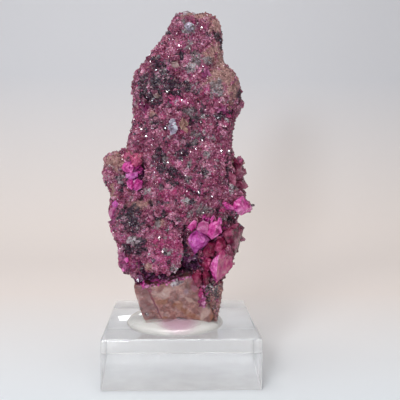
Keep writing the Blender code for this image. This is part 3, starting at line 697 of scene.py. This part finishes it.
def druse_finish():
    """Grains of mineral, with a clear mirror coat on the few that glint."""
    finish = Finish(
        "druse",
        subsurface_weight=0.15,
        subsurface_scale=0.4 * MM,
        specular_ior_level=0.6,
        ior=1.6,
        coat_ior=1.6,
        coat_roughness=0.03,
    )
    cloud = finish.noise(0.35 * MM, 2)
    height, chance = finish.facets(FACET_SIZE, 1.8)
    tint = (finish.attribute("tint") * 0.7 + cloud * 0.2 + chance * 0.36 - 0.12).clamped()
    finish.set("Base Color", mineral_colour(finish, tint))
    finish.set("Coat Weight", finish.attribute("glint"))
    plain = 1 - finish.attribute("glint")
    finish.set("Roughness", 0.04 + chance * 0.3 * plain)
    finish.relief(height * plain)
    return finish


# Each crystal's deepest, body and lightest colour.
CRYSTAL_COLOURS = {
    "magenta": ((0.3, 0.01, 0.13), (0.58, 0.065, 0.3), (0.84, 0.3, 0.58)),
    "violet": ((0.3, 0.018, 0.19), (0.52, 0.085, 0.37), (0.7, 0.3, 0.58)),
    "rose": ((0.32, 0.022, 0.12), (0.47, 0.065, 0.19), (0.58, 0.18, 0.26)),
    "blush": ((0.28, 0.03, 0.14), (0.44, 0.095, 0.25), (0.66, 0.32, 0.48)),
    "salmon": ((0.3, 0.035, 0.1), (0.5, 0.1, 0.2), (0.74, 0.34, 0.4)),
    "berry": ((0.11, 0.012, 0.05), (0.24, 0.04, 0.125), (0.42, 0.14, 0.27)),
    "crimson": ((0.13, 0.006, 0.03), (0.3, 0.022, 0.085), (0.58, 0.13, 0.27)),
    "wine": ((0.06, 0.003, 0.018), (0.155, 0.008, 0.036), (0.3, 0.045, 0.1)),
    "rosewood": ((0.13, 0.018, 0.045), (0.27, 0.06, 0.11), (0.46, 0.18, 0.25)),
    "ruddy": ((0.06, 0.004, 0.018), (0.155, 0.013, 0.045), (0.44, 0.11, 0.2)),
    "amber": ((0.17, 0.08, 0.068), (0.34, 0.18, 0.15), (0.5, 0.3, 0.25)),
    "lilac": ((0.24, 0.18, 0.25), (0.42, 0.36, 0.44), (0.68, 0.64, 0.72)),
    "cream": ((0.22, 0.12, 0.12), (0.38, 0.235, 0.23), (0.58, 0.43, 0.41)),
    "frost": ((0.2, 0.13, 0.15), (0.33, 0.24, 0.27), (0.58, 0.49, 0.52)),
    "umber": ((0.1, 0.036, 0.036), (0.19, 0.08, 0.074), (0.33, 0.17, 0.155)),
    "plum": ((0.03, 0.005, 0.024), (0.098, 0.015, 0.062), (0.24, 0.085, 0.19)),
}


def crystal_finish(name):
    """Half-clear crystal, veiled inside."""
    deep, body, light = CRYSTAL_COLOURS[name]
    finish = Finish(
        name + "_crystal",
        subsurface_weight=0.22,
        subsurface_scale=0.8 * MM,
        subsurface_radius=(1, 0.35, 0.6),
        specular_ior_level=0.35,
        ior=1.62,
    )
    veil = finish.noise(1.7 * MM, 5, 0.62)
    height, chance = finish.facets(1.1 * MM, 0.55)
    tint = veil + chance * 0.14 - 0.07
    finish.set("Base Color", finish.ramp(tint, (0.34, deep), (0.5, body), (0.72, light)))
    finish.set("Roughness", 0.1 + veil * 0.2)
    finish.relief(height, finish.noise(0.4 * MM, 2), 0.05 * MM, 0.5)
    return finish


STONE_DEEP, STONE, STONE_LIGHT = (0.14, 0.05, 0.045), (0.24, 0.088, 0.078), (0.4, 0.195, 0.16)
STAIN, CLEAN = (0.35, 0.3, 0.3), (1, 1, 1)
FOOT_COLOURS = {
    "rust": (0.25, 0.085, 0.045),
    "pale": (0.4, 0.245, 0.215),
    "lilac": (0.27, 0.15, 0.175),
    "wine": (0.2, 0.026, 0.06),
    "dark": (0.06, 0.035, 0.036),
    "russet": (0.2, 0.075, 0.074),
}


def cleaved_finish():
    """Half-clear cleaved dolomite: cloudy, with the foot's patches laid over it."""
    finish = Finish("cleaved_dolomite", subsurface_weight=0.3, subsurface_scale=1.2 * MM, ior=1.6)
    cloud = finish.noise(2.6 * MM, 6, 0.62)
    fine = finish.noise(0.7 * MM, 5, 0.7)
    height, chance = finish.facets(1.1 * MM, 0.35)
    tint = cloud * 0.6 + fine * 0.4 + chance * 0.06 - 0.03
    colour = finish.ramp(tint, (0.36, STONE_DEEP), (0.5, STONE), (0.64, STONE_LIGHT))
    for name, patch in FOOT_COLOURS.items():
        colour = finish.mix(finish.attribute(name), colour, patch)
    stains = finish.ramp(fine, (0.35, STAIN), (0.65, CLEAN))
    finish.set("Base Color", finish.mix(0.35, colour, stains, "MULTIPLY"))
    finish.set("Roughness", 0.25 + fine * 0.3)
    finish.relief(height, fine, 0.2 * MM, 0.6)
    return finish


def acrylic_finish():
    """Clear acrylic, very slightly veiled by handling and scuffed underneath."""
    finish = Finish("clear_acrylic", transmission_weight=0.84, ior=1.49)
    haze = finish.noise(6 * MM, 4, 0.6)
    finish.set("Base Color", finish.mix(haze, (0.96, 0.965, 0.975), (0.99, 0.99, 0.99)))
    under = (1 - finish.along("Z") * (1 / UNDERSIDE)).clamped()
    finish.set("Roughness", 0.01 + haze * 0.05 + under * (0.14 + haze * 0.4))
    return finish


def gel_finish():
    """Half-clear gel, cream at the rim and faintly lilac towards the middle: the lilac is a painted
    refraction of the stone.
    """
    finish = Finish("clear_gel", transmission_weight=0.72, ior=1.43)
    lens = (GEL_MIDDLE + GEL_PAINTED_LILAC_SHIFT)[:]
    reach = finish.vectors("LENGTH", finish.vectors("SUBTRACT", finish.place(), lens), output="Value")
    cloud = finish.noise(2.2 * MM, 3)
    tint = reach * (1 / GEL_RADIUS) + cloud * 0.1 - 0.05
    finish.set("Base Color", finish.ramp(tint, (0.26, GEL_PAINTED_LILAC), (0.46, GEL_CREAM)))
    finish.set("Roughness", 0.03 + cloud * 0.05)
    return finish


def sweep_finish():
    finish = Finish("pale_sweep", roughness=0.6, specular_ior_level=0.2)
    far = (finish.along("Y") * FAR_FADE[0] + FAR_FADE[1]).clamped()
    up = (finish.along("Z") * BACKDROP_FADE[0] + BACKDROP_FADE[1]).clamped()
    # Painted shade: the darker backdrop colour comes in with height.
    finish.set("Base Color", finish.mix(up, finish.mix(far, FLOOR_NEAR, FLOOR_FAR), BACKDROP))
    return finish


# ---------------------------------------- rock body


def copy_node(node, name):
    """A copy of a CAD solid whose loose triangles are merged."""
    body = put(name, NODES[node].data.copy())
    with editing(body):
        bpy.ops.mesh.remove_doubles(threshold=1e-6)
    return body


def line_distance(points, line):
    """Distance in the front view from each point to a line of (x, z) points, all in millimetres."""
    here = points[:, (0, 2)] / MM
    nearest = np.full(len(points), np.inf, np.float32)
    for start, end in zip(line, line[1:]):
        start, along = np.array(start), np.subtract(end, start)
        share = np.clip((here - start) @ along / (along @ along), 0, 1)
        nearest = np.minimum(nearest, np.linalg.norm(here - start - share[:, None] * along, axis=1))
    return nearest


def relief(points):
    """Height of the rock's clumps, knots, grit and clefts, and how deep in a cleft each point is, which
    sets its painted shade.
    """
    clumps = cells_of(points, CLUMP_SIZE) - 0.4
    knots = cells_of(points, KNOT_SIZE) - 0.4
    grit = noise_of(points, GRIT_SIZE, 6)
    height = CLUMP_HEIGHT * clumps + KNOT_HEIGHT * knots + GRIT_HEIGHT * grit
    # Share of painted shade: a little where clumps and knots meet, full in the clefts.
    cleft = 0.35 * smooth_step(0.15 - 0.9 * clumps - 0.5 * knots)
    front = smooth_step(-points[:, 1] / (2 * MM))
    for half_width, depth, line in CLEFTS:
        inside = front * smooth_step(1.5 - line_distance(points, line) / half_width)
        height -= depth * MM * inside
        cleft = np.maximum(cleft, inside)
    return height, cleft


def make_rock_body(covers):
    """The rock under the druse, sunk below the crystals and the foot blocks that cover it."""
    parts = [copy_node("dolomite_specimen", "rock_body")]
    for place, size in LUMPS:
        bpy.ops.mesh.primitive_ico_sphere_add(subdivisions=3, radius=1, location=Vector(place) * MM)
        lump = named("lump")
        lump.scale = Vector(size) * MM
        settle(lump)
        parts.append(lump)
    body = join(parts, "rock_body")
    modify(body, "REMESH", mode="VOXEL", voxel_size=ROCK_VOXEL)
    mesh = body.data
    points, normals = coordinates(mesh), normals_of(mesh)
    height, cleft = relief(points)
    weights = colour_weights(points, normals)
    height *= 1 - 0.6 * weights["tan"]
    points[:, :2] *= 1 - FOOT_WAIST * smooth_step((FOOT_TOP * MM - points[:, 2]) / (2 * MM))[:, None]
    crystal_tree = tree_of(covers)
    covered = smooth_step(1 - distances(points, crystal_tree, SUNK_REACH) / SUNK_REACH)
    height = (height - ROCK_INSET) * (1 - covered) - SUNK_UNDER_CRYSTALS * covered
    points = points + normals * height[:, None]
    for point in points:
        crystal = crystal_tree.ray_cast(Vector(point), Vector(BACKWARD), CLEARED)[0]
        if crystal is not None:
            point[1] = crystal.y + SUNK_UNDER_CRYSTALS
    move_vertices(mesh, points)
    # The cleft share is kept for the finish's painted shade.
    store(mesh, "cleft", cleft)
    paint_cleft_shade(weights, cleft)
    for name, weight in weights.items():
        store(mesh, name, weight)
    return body


# ---------------------------------------- crystals


def rhomb_matrix(centre, edges, degrees):
    columns = [direction * length * MM for direction, length in zip(RHOMB_EDGES, edges)]
    shear = Matrix(columns).transposed().to_4x4()
    turn = Euler([math.radians(a) for a in degrees]).to_matrix().to_4x4()
    return Matrix.Translation(Vector(centre) * MM) @ turn @ shear


def add_rhomb(matrix, edge):
    """One bevelled rhomb: a unit cube sheared into dolomite's cleavage form."""
    bpy.ops.mesh.primitive_cube_add(size=1)
    rhomb = named("rhomb")
    rhomb.data.transform(matrix)
    modify(rhomb, "BEVEL", width=edge, segments=1)
    return rhomb


def add_hull(corners):
    """One crystal as the hull of its corners, with narrowly bevelled edges."""
    mesh = bpy.data.meshes.new("hull")
    mesh.from_pydata([Vector(corner) * MM for corner in corners], [], [])
    crystal = put("hull", mesh)
    with editing(crystal):
        bpy.ops.mesh.convex_hull()
        bpy.ops.mesh.dissolve_limited(angle_limit=math.radians(4))
    modify(crystal, "BEVEL", width=HULL_EDGE, segments=1)
    return crystal


def make_crystals():
    """The large crystals in groups by finish: hulls, then rhombs that each have a smaller one beside."""
    rng = np.random.default_rng(STEP_SEED)
    groups = defaultdict(list)
    for finish, *corners in FACETED.values():
        groups[finish].append(add_hull(corners))
    for finish, centre, edges, degrees in CRYSTALS:
        matrix = rhomb_matrix(centre, edges, degrees)
        size = rng.uniform(0.28, 0.55, 3)
        corner = rng.choice((-0.5, 0.5), 3) * (1.06 - size)
        corner[1] = -abs(corner[1])
        step = Matrix.Translation(Vector(corner)) @ Matrix.Diagonal((*size, 1))
        groups[finish] += [add_rhomb(matrix, RHOMB_EDGE), add_rhomb(matrix @ step, STEP_EDGE)]
    return groups


def around(x, y, half_width, half_height, count, rng):
    """Random spots in an ellipse."""
    angles = rng.uniform(0, 2 * math.pi, count)
    reaches = np.sqrt(rng.random(count))
    spots = x + half_width * reaches * np.cos(angles), y + half_height * reaches * np.sin(angles)
    return np.stack(spots, 1)


def sown(rng):
    """Of each bed, row and crown patch: finish, starts, direction, and the least and greatest edge."""
    for finish, x, z, half_width, half_height, count, *edges in BEDS:
        spots = around(x, z, half_width, half_height, count, rng)
        yield finish, [(x, SOWN_FROM_Y, z) for x, z in spots], BACKWARD, edges
    for finish, start, end, spread, count, *edges in ROWS:
        shares = rng.random(count)[:, None]
        spots = (1 - shares) * start + shares * end + rng.normal(0, spread / 2, (count, 2))
        yield finish, [(x, SOWN_FROM_Y, z) for x, z in spots], BACKWARD, edges
    for finish, x, y, half_width, half_depth, count, *edges in CROWN:
        spots = around(x, y, half_width, half_depth, count, rng)
        yield finish, [(x, y, SOWN_FROM_Z) for x, y in spots], DOWNWARD, edges


def seats(tree, starts, direction, edges, rng):
    """Places and shapes for small crystals where lines from the starts first meet the stone."""
    places = [tree.ray_cast(Vector(start) * MM, Vector(direction))[0] for start in starts]
    places = np.array([place for place in places if place is not None]).reshape(-1, 3)
    count = len(places)
    sizes = rng.uniform(*edges, (count, 1)) * rng.uniform(0.6, 1.25, (count, 3)) * MM
    turns = lying_turns(unit(rng.normal(size=(count, 3))), 0, rng)
    return places, turns @ LYING_EDGES * sizes[:, None, :]


def make_beds(rock, feet):
    """Beds of smaller crystals on the rock, rows of tiny ones on the foot and frost on the crown."""
    rng = np.random.default_rng(BED_SEED)
    tree = tree_of([rock, *feet])
    seated = defaultdict(list)
    for finish, starts, direction, edges in sown(rng):
        seated[finish].append(seats(tree, starts, direction, edges, rng))
    groups = {}
    for finish, beds in seated.items():
        places, shapes = (np.concatenate(values) for values in zip(*beds))
        groups[finish] = grow(finish + "_beds", places, shapes, {})
    return groups


# ---------------------------------------- foot blocks


def make_foot_block(name, front, depth, outline):
    """A cleaved block from its front outline, with soft edges and a stepped, slightly uneven face."""
    bpy.ops.mesh.primitive_circle_add(vertices=len(outline), radius=1, fill_type="NGON")
    block = named(name)
    for vertex, (x, z) in zip(block.data.vertices, outline):
        vertex.co = Vector((x, front, z)) * MM
    with editing(block):
        bpy.ops.mesh.extrude_region_move(TRANSFORM_OT_translate={"value": (0, depth * MM, FOOT_RISE)})
        bpy.ops.mesh.select_all(action="SELECT")
        bpy.ops.mesh.normals_make_consistent(inside=False)
    modify(block, "BEVEL", width=FOOT_EDGE, segments=2)
    modify(block, "REMESH", mode="VOXEL", voxel_size=FOOT_VOXEL)
    mesh = block.data
    points, normals = coordinates(mesh), normals_of(mesh)
    slanted = points @ np.array(STRIPE_SLANT, np.float32)
    ledge = np.floor(noise_of(points, LEDGE_SIZE, 8) * LEDGES) / LEDGES
    height = LEDGE_HEIGHT * ledge + PIT_HEIGHT * noise_of(points, PIT_SIZE, 9)
    height += STRIPE_HEIGHT * np.sin(slanted / STRIPE_WIDTH)
    move_vertices(mesh, points + normals * height[:, None])
    ragged = FOOT_RAGGEDNESS * noise_of(points, FOOT_RAGGED_SIZE, 31)
    front_side = smooth_step((-4 * MM - points[:, 1]) / (3 * MM))
    for patch, places in FOOT_PATCHES.items():
        store(mesh, patch, front_side * patch_weight(points, ragged, places, FOOT_PATCH_EDGE))
    return block


# ---------------------------------------- druse


def scatter(body, count, rng):
    """Random places on a mesh, spread evenly by area: points and smooth normals."""
    mesh = body.data
    mesh.calc_loop_triangles()
    corners = np.empty(len(mesh.loop_triangles) * 3, np.int32)
    mesh.loop_triangles.foreach_get("vertices", corners)
    corners = corners.reshape(-1, 3)
    places, vertex_normals = coordinates(mesh), normals_of(mesh)
    a, b, c = (places[corners[:, i]] for i in range(3))
    area = np.linalg.norm(np.cross(b - a, c - a), axis=1)
    chosen = rng.choice(len(corners), count, p=area / area.sum())
    u, v = rng.random((2, count))
    flip = u + v > 1
    u[flip], v[flip] = 1 - u[flip], 1 - v[flip]
    shares = np.stack((1 - u - v, u, v), 1)[:, :, None]
    points = (places[corners[chosen]] * shares).sum(1)
    normals = (vertex_normals[corners[chosen]] * shares).sum(1)
    return points, unit(normals)


def lying_turns(normals, tilt, rng):
    """Rotation matrices that turn Z near each normal, leaning by about tilt, and spun at random."""
    count = len(normals)
    up = unit(normals + tilt * rng.normal(size=(count, 3)))
    side = unit(np.cross(up, rng.normal(size=(count, 3))))
    return np.stack((side, np.cross(up, side), up), 2)


def grain_shapes(normals, sizes, rng):
    """A matrix for each grain that shears a unit cube to about its size and lays it near its normal."""
    edges = sizes[:, None] * rng.uniform(0.65, 1.25, (len(sizes), 3))
    return lying_turns(normals, GRAIN_TILT, rng) @ LYING_EDGES * edges[:, None, :]


def grow(name, points, shapes, values):
    """Joins a unit cube, turned and sheared by each point's own matrix, into one mesh."""
    bpy.ops.mesh.primitive_cube_add(size=1)
    seed = bpy.context.object
    cube = coordinates(seed.data)
    faces = np.array([f.vertices[:] for f in seed.data.polygons], np.int32)
    bpy.data.objects.remove(seed)
    count, corners = len(points), len(cube)
    placed = np.einsum("nij,vj->nvi", shapes, cube) + points[:, None, :]
    loops = (faces[None] + (np.arange(count) * corners)[:, None, None]).ravel()
    mesh = bpy.data.meshes.new(name)
    mesh.vertices.add(count * corners)
    mesh.vertices.foreach_set("co", placed.astype(np.float32).ravel())
    mesh.loops.add(len(loops))
    mesh.loops.foreach_set("vertex_index", loops)
    mesh.polygons.add(count * len(faces))
    mesh.polygons.foreach_set("loop_start", np.arange(0, len(loops), 4))
    mesh.update(calc_edges=True)
    mesh.shade_flat()
    for attribute, value in values.items():
        store(mesh, attribute, np.repeat(value, corners))
    return put(name, mesh)


def make_crust(foot, count, bare_above, mixture, rng):
    """A thin crust of tiny rhombs on a foot block, thinning out upwards from bare_above."""
    points, normals = scatter(foot, count, rng)
    keep = rng.random(count) < smooth_step((bare_above * MM - points[:, 2]) / (3 * MM))
    points, normals = points[keep], normals[keep]
    count = len(points)
    sizes = CRUST_MIDDLING * np.exp(GRAIN_SPREAD * rng.normal(size=count))
    sizes = np.clip(sizes, CRUST_LEAST, CRUST_GREATEST)
    shapes = grain_shapes(normals, sizes, rng)
    centres = points - normals * (sizes * rng.uniform(0.1, 0.42, count))[:, None]
    values = {"tint": np.clip(rng.normal(0.5, 0.16, count), 0, 1), "glint": np.zeros(count)}
    for name, often in mixture.items():
        values[name] = np.where(rng.random(count) < often, rng.uniform(0.6, 1, count), 0)
    return grow(foot.name + "_crust", centres, shapes, values)


def make_druse(body, covers):
    """Thousands of small rhombs over the rock, clear of the large crystals and the foot. A few glint."""
    rng = np.random.default_rng(DRUSE_SEED)
    points, normals = scatter(body, DRUSE_PLACES, rng)
    weights = colour_weights(points, normals)
    front = smooth_step((0.5 - normals[:, 1]) / 0.6)
    density = (0.35 + 0.65 * front) * (1 - 0.85 * weights["tan"])
    keep = rng.random(len(points)) < density
    points, normals = points[keep], normals[keep]
    weights = {name: value[keep] for name, value in weights.items()}
    sizes = GRAIN_MIDDLING * np.exp(GRAIN_SPREAD * rng.normal(size=len(points)))
    sizes = np.clip(sizes * (1 - 0.35 * weights["tan"]), GRAIN_LEAST, GRAIN_GREATEST)
    clear = distances(points, tree_of(covers), GRAIN_GREATEST) > 0.5 * sizes
    points, normals, sizes = points[clear], normals[clear], sizes[clear]
    weights = {name: value[clear] for name, value in weights.items()}
    count = len(points)
    shapes = grain_shapes(normals, sizes, rng)
    centres = points + normals * (sizes * rng.uniform(-0.5, -0.18, count))[:, None]
    cleft = relief(points)[1]
    tint = 0.56 + 0.55 * noise_of(points, TINT_BROAD, 12) + 0.42 * noise_of(points, TINT_FINE, 13)
    # Painted shade: grains in clefts get a lower tint and the dark mineral's colour.
    values = {"tint": np.clip(tint + rng.normal(0, 0.17, count) - 0.35 * cleft, 0, 1)}
    paint_cleft_shade(weights, cleft)
    for name, weight in weights.items():
        values[name] = np.clip(weight * (1 + 0.6 * rng.normal(size=count)), 0, 1)
    glints = rng.choice(np.flatnonzero(points[:, 1] < GLINTS_BEFORE), GLINTS, replace=False)
    to_camera, to_key = (unit(np.array(place) - points[glints]) for place in (CAMERA_PLACE, KEY_PLACE))
    edges = (GLINT_LEAST + GLINT_SPREAD * rng.random((GLINTS, 1)) ** 3) * MM
    turns = lying_turns(unit(to_camera + to_key), GLINT_TILT, rng)
    shapes[glints] = turns @ LYING_EDGES * edges[:, None, :]
    centres[glints] += GLINT_LIFT * normals[glints]
    values["glint"] = np.zeros(count)
    values["glint"][glints] = 1
    pieces = []
    for name, (low, high) in DRUSE_BANDS.items():
        here = (centres[:, 2] >= low * MM) & (centres[:, 2] < high * MM)
        band = {key: value[here] for key, value in values.items()}
        pieces.append(grow(name, centres[here], shapes[here], band))
    return pieces


# ---------------------------------------- gel and block


def make_gel():
    """A puddle of clear gel, flat below, with a full rounded rim."""
    bpy.ops.mesh.primitive_uv_sphere_add(segments=96, ring_count=64, radius=1)
    gel = named("gel_dome")
    with editing(gel):
        bpy.ops.mesh.bisect(plane_co=(0, 0, 0), plane_no=(0, 0, 1), use_fill=True, clear_inner=True)
    for vertex in gel.data.vertices:
        across = math.hypot(vertex.co.x, vertex.co.y)
        full = math.sqrt(max(0, 1 - across**GEL_ROUNDNESS))
        vertex.co.z = full * (1 - GEL_SLOPE * across) if vertex.co.z > 1e-6 else 0
    gel.scale = (GEL_RADIUS, GEL_RADIUS, GEL_HIGH.z - BASE_TOP + GEL_SINK)
    gel.location = (GEL_MIDDLE.x, GEL_MIDDLE.y, BASE_TOP - GEL_SINK)
    settle(gel)
    bpy.ops.object.shade_smooth_by_angle(angle=math.radians(40))
    return gel


def make_block():
    """The acrylic block with finely rounded, polished edges."""
    bpy.ops.mesh.primitive_cube_add(size=1, location=(0, 0, BASE_TOP / 2))
    block = named("display_block")
    block.scale = (BASE_WIDTH, BASE_WIDTH, BASE_TOP)
    settle(block)
    modify(block, "BEVEL", width=BASE_EDGE, segments=4)
    bpy.ops.object.shade_smooth_by_angle(angle=math.radians(30))
    return block


# ---------------------------------------- stage, lights and camera


def make_stage():
    """A floor that sweeps up into the backdrop."""
    middle = (0, SWEEP_BACK - SWEEP_SIZE / 2, FLOOR_HEIGHT)
    bpy.ops.mesh.primitive_plane_add(size=SWEEP_SIZE, location=middle)
    sweep = named("sweep")
    for edge in sweep.data.edges:
        edge.select = all(sweep.data.vertices[v].co.y > 0 for v in edge.vertices)
    for vertex in sweep.data.vertices:
        vertex.select = vertex.co.y > 0
    for face in sweep.data.polygons:
        face.select = False
    with editing(sweep, everything=False):
        centre = (0, SWEEP_BACK, FLOOR_HEIGHT + SWEEP_RADIUS)
        bpy.ops.mesh.spin(steps=SWEEP_STEPS, angle=math.pi / 2, center=centre, axis=(-1, 0, 0))
        bpy.ops.mesh.extrude_region_move(TRANSFORM_OT_translate={"value": (0, 0, SWEEP_SIZE / 2)})
    settle(sweep)
    bpy.ops.object.shade_smooth()
    give(sweep, sweep_finish())


def add_light(name, place, size, power, colour, lit=None):
    """A soft panel that faces the object. It may light only the pieces of one collection."""
    data = bpy.data.lights.new(name, "AREA")
    data.shape = "RECTANGLE"
    data.size, data.size_y = size
    data.energy = power
    data.color = colour
    light = put(name, data)
    light.location = place
    light.rotation_euler = (LIGHTS_AIM - Vector(place)).to_track_quat("-Z", "Y").to_euler()
    light.visible_camera = False
    light.light_linking.receiver_collection = lit


def make_lights(clear_pieces):
    clear = bpy.data.collections.new("clear_pieces")
    for piece in clear_pieces:
        clear.objects.link(piece)
    for light in LIGHTS:
        add_light(*light)
    for light in CLEAR_LIGHTS:
        add_light(*light, clear)
    world = bpy.data.worlds.new("studio")
    bpy.context.scene.world = world
    world.use_nodes = True
    room = world.node_tree.nodes["Background"].inputs
    room["Color"].default_value = ROOM_COLOUR
    room["Strength"].default_value = ROOM_STRENGTH


def make_camera():
    data = bpy.data.cameras.new("camera")
    data.lens = CAMERA_LENS
    data.sensor_width = 36
    data.clip_start = 0.01
    camera = put("camera", data)
    camera.location = CAMERA_PLACE
    aim = Euler((math.pi / 2 - CAMERA_DOWN, 0, -CAMERA_RIGHT)).to_matrix()
    camera.rotation_euler = (aim @ Matrix.Rotation(CAMERA_ROLL, 3, "Z")).to_euler()
    bpy.context.scene.camera = camera
    bpy.context.scene.view_settings.view_transform = "Standard"


# ---------------------------------------- all together


def main():
    make_camera()
    make_stage()

    groups = make_crystals()
    feet = [make_foot_block(name, *form) for name, form in FOOT_BLOCKS.items()]
    cleaved = cleaved_finish()
    for foot in feet:
        give(foot, cleaved)
    large = [part for parts in groups.values() for part in parts]
    rock = make_rock_body(large + feet)
    give(rock, rock_finish())
    for finish, beds in make_beds(rock, feet).items():
        groups[finish].append(beds)
    crystals = []
    for finish, parts in groups.items():
        piece = join(parts, finish + "_crystals")
        give(piece, crystal_finish(finish))
        crystals.append(piece)
    druse = make_druse(rock, crystals + feet)
    rng = np.random.default_rng(CRUST_SEED)
    for name, crust in CRUSTS.items():
        druse.append(make_crust(bpy.data.objects[name], *crust, rng))
    grains = druse_finish()
    for piece in druse:
        give(piece, grains)
    gel = make_gel()
    give(gel, gel_finish())
    block = make_block()
    give(block, acrylic_finish())
    make_lights((gel, block))

    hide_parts("dolomite_specimen")
    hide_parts("mounting_gel")
    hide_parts("acrylic_base")
    for piece in (rock, *crystals, *feet, *druse):
        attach(piece, "root")
    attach(gel, "root")
    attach(block, "root")


main()
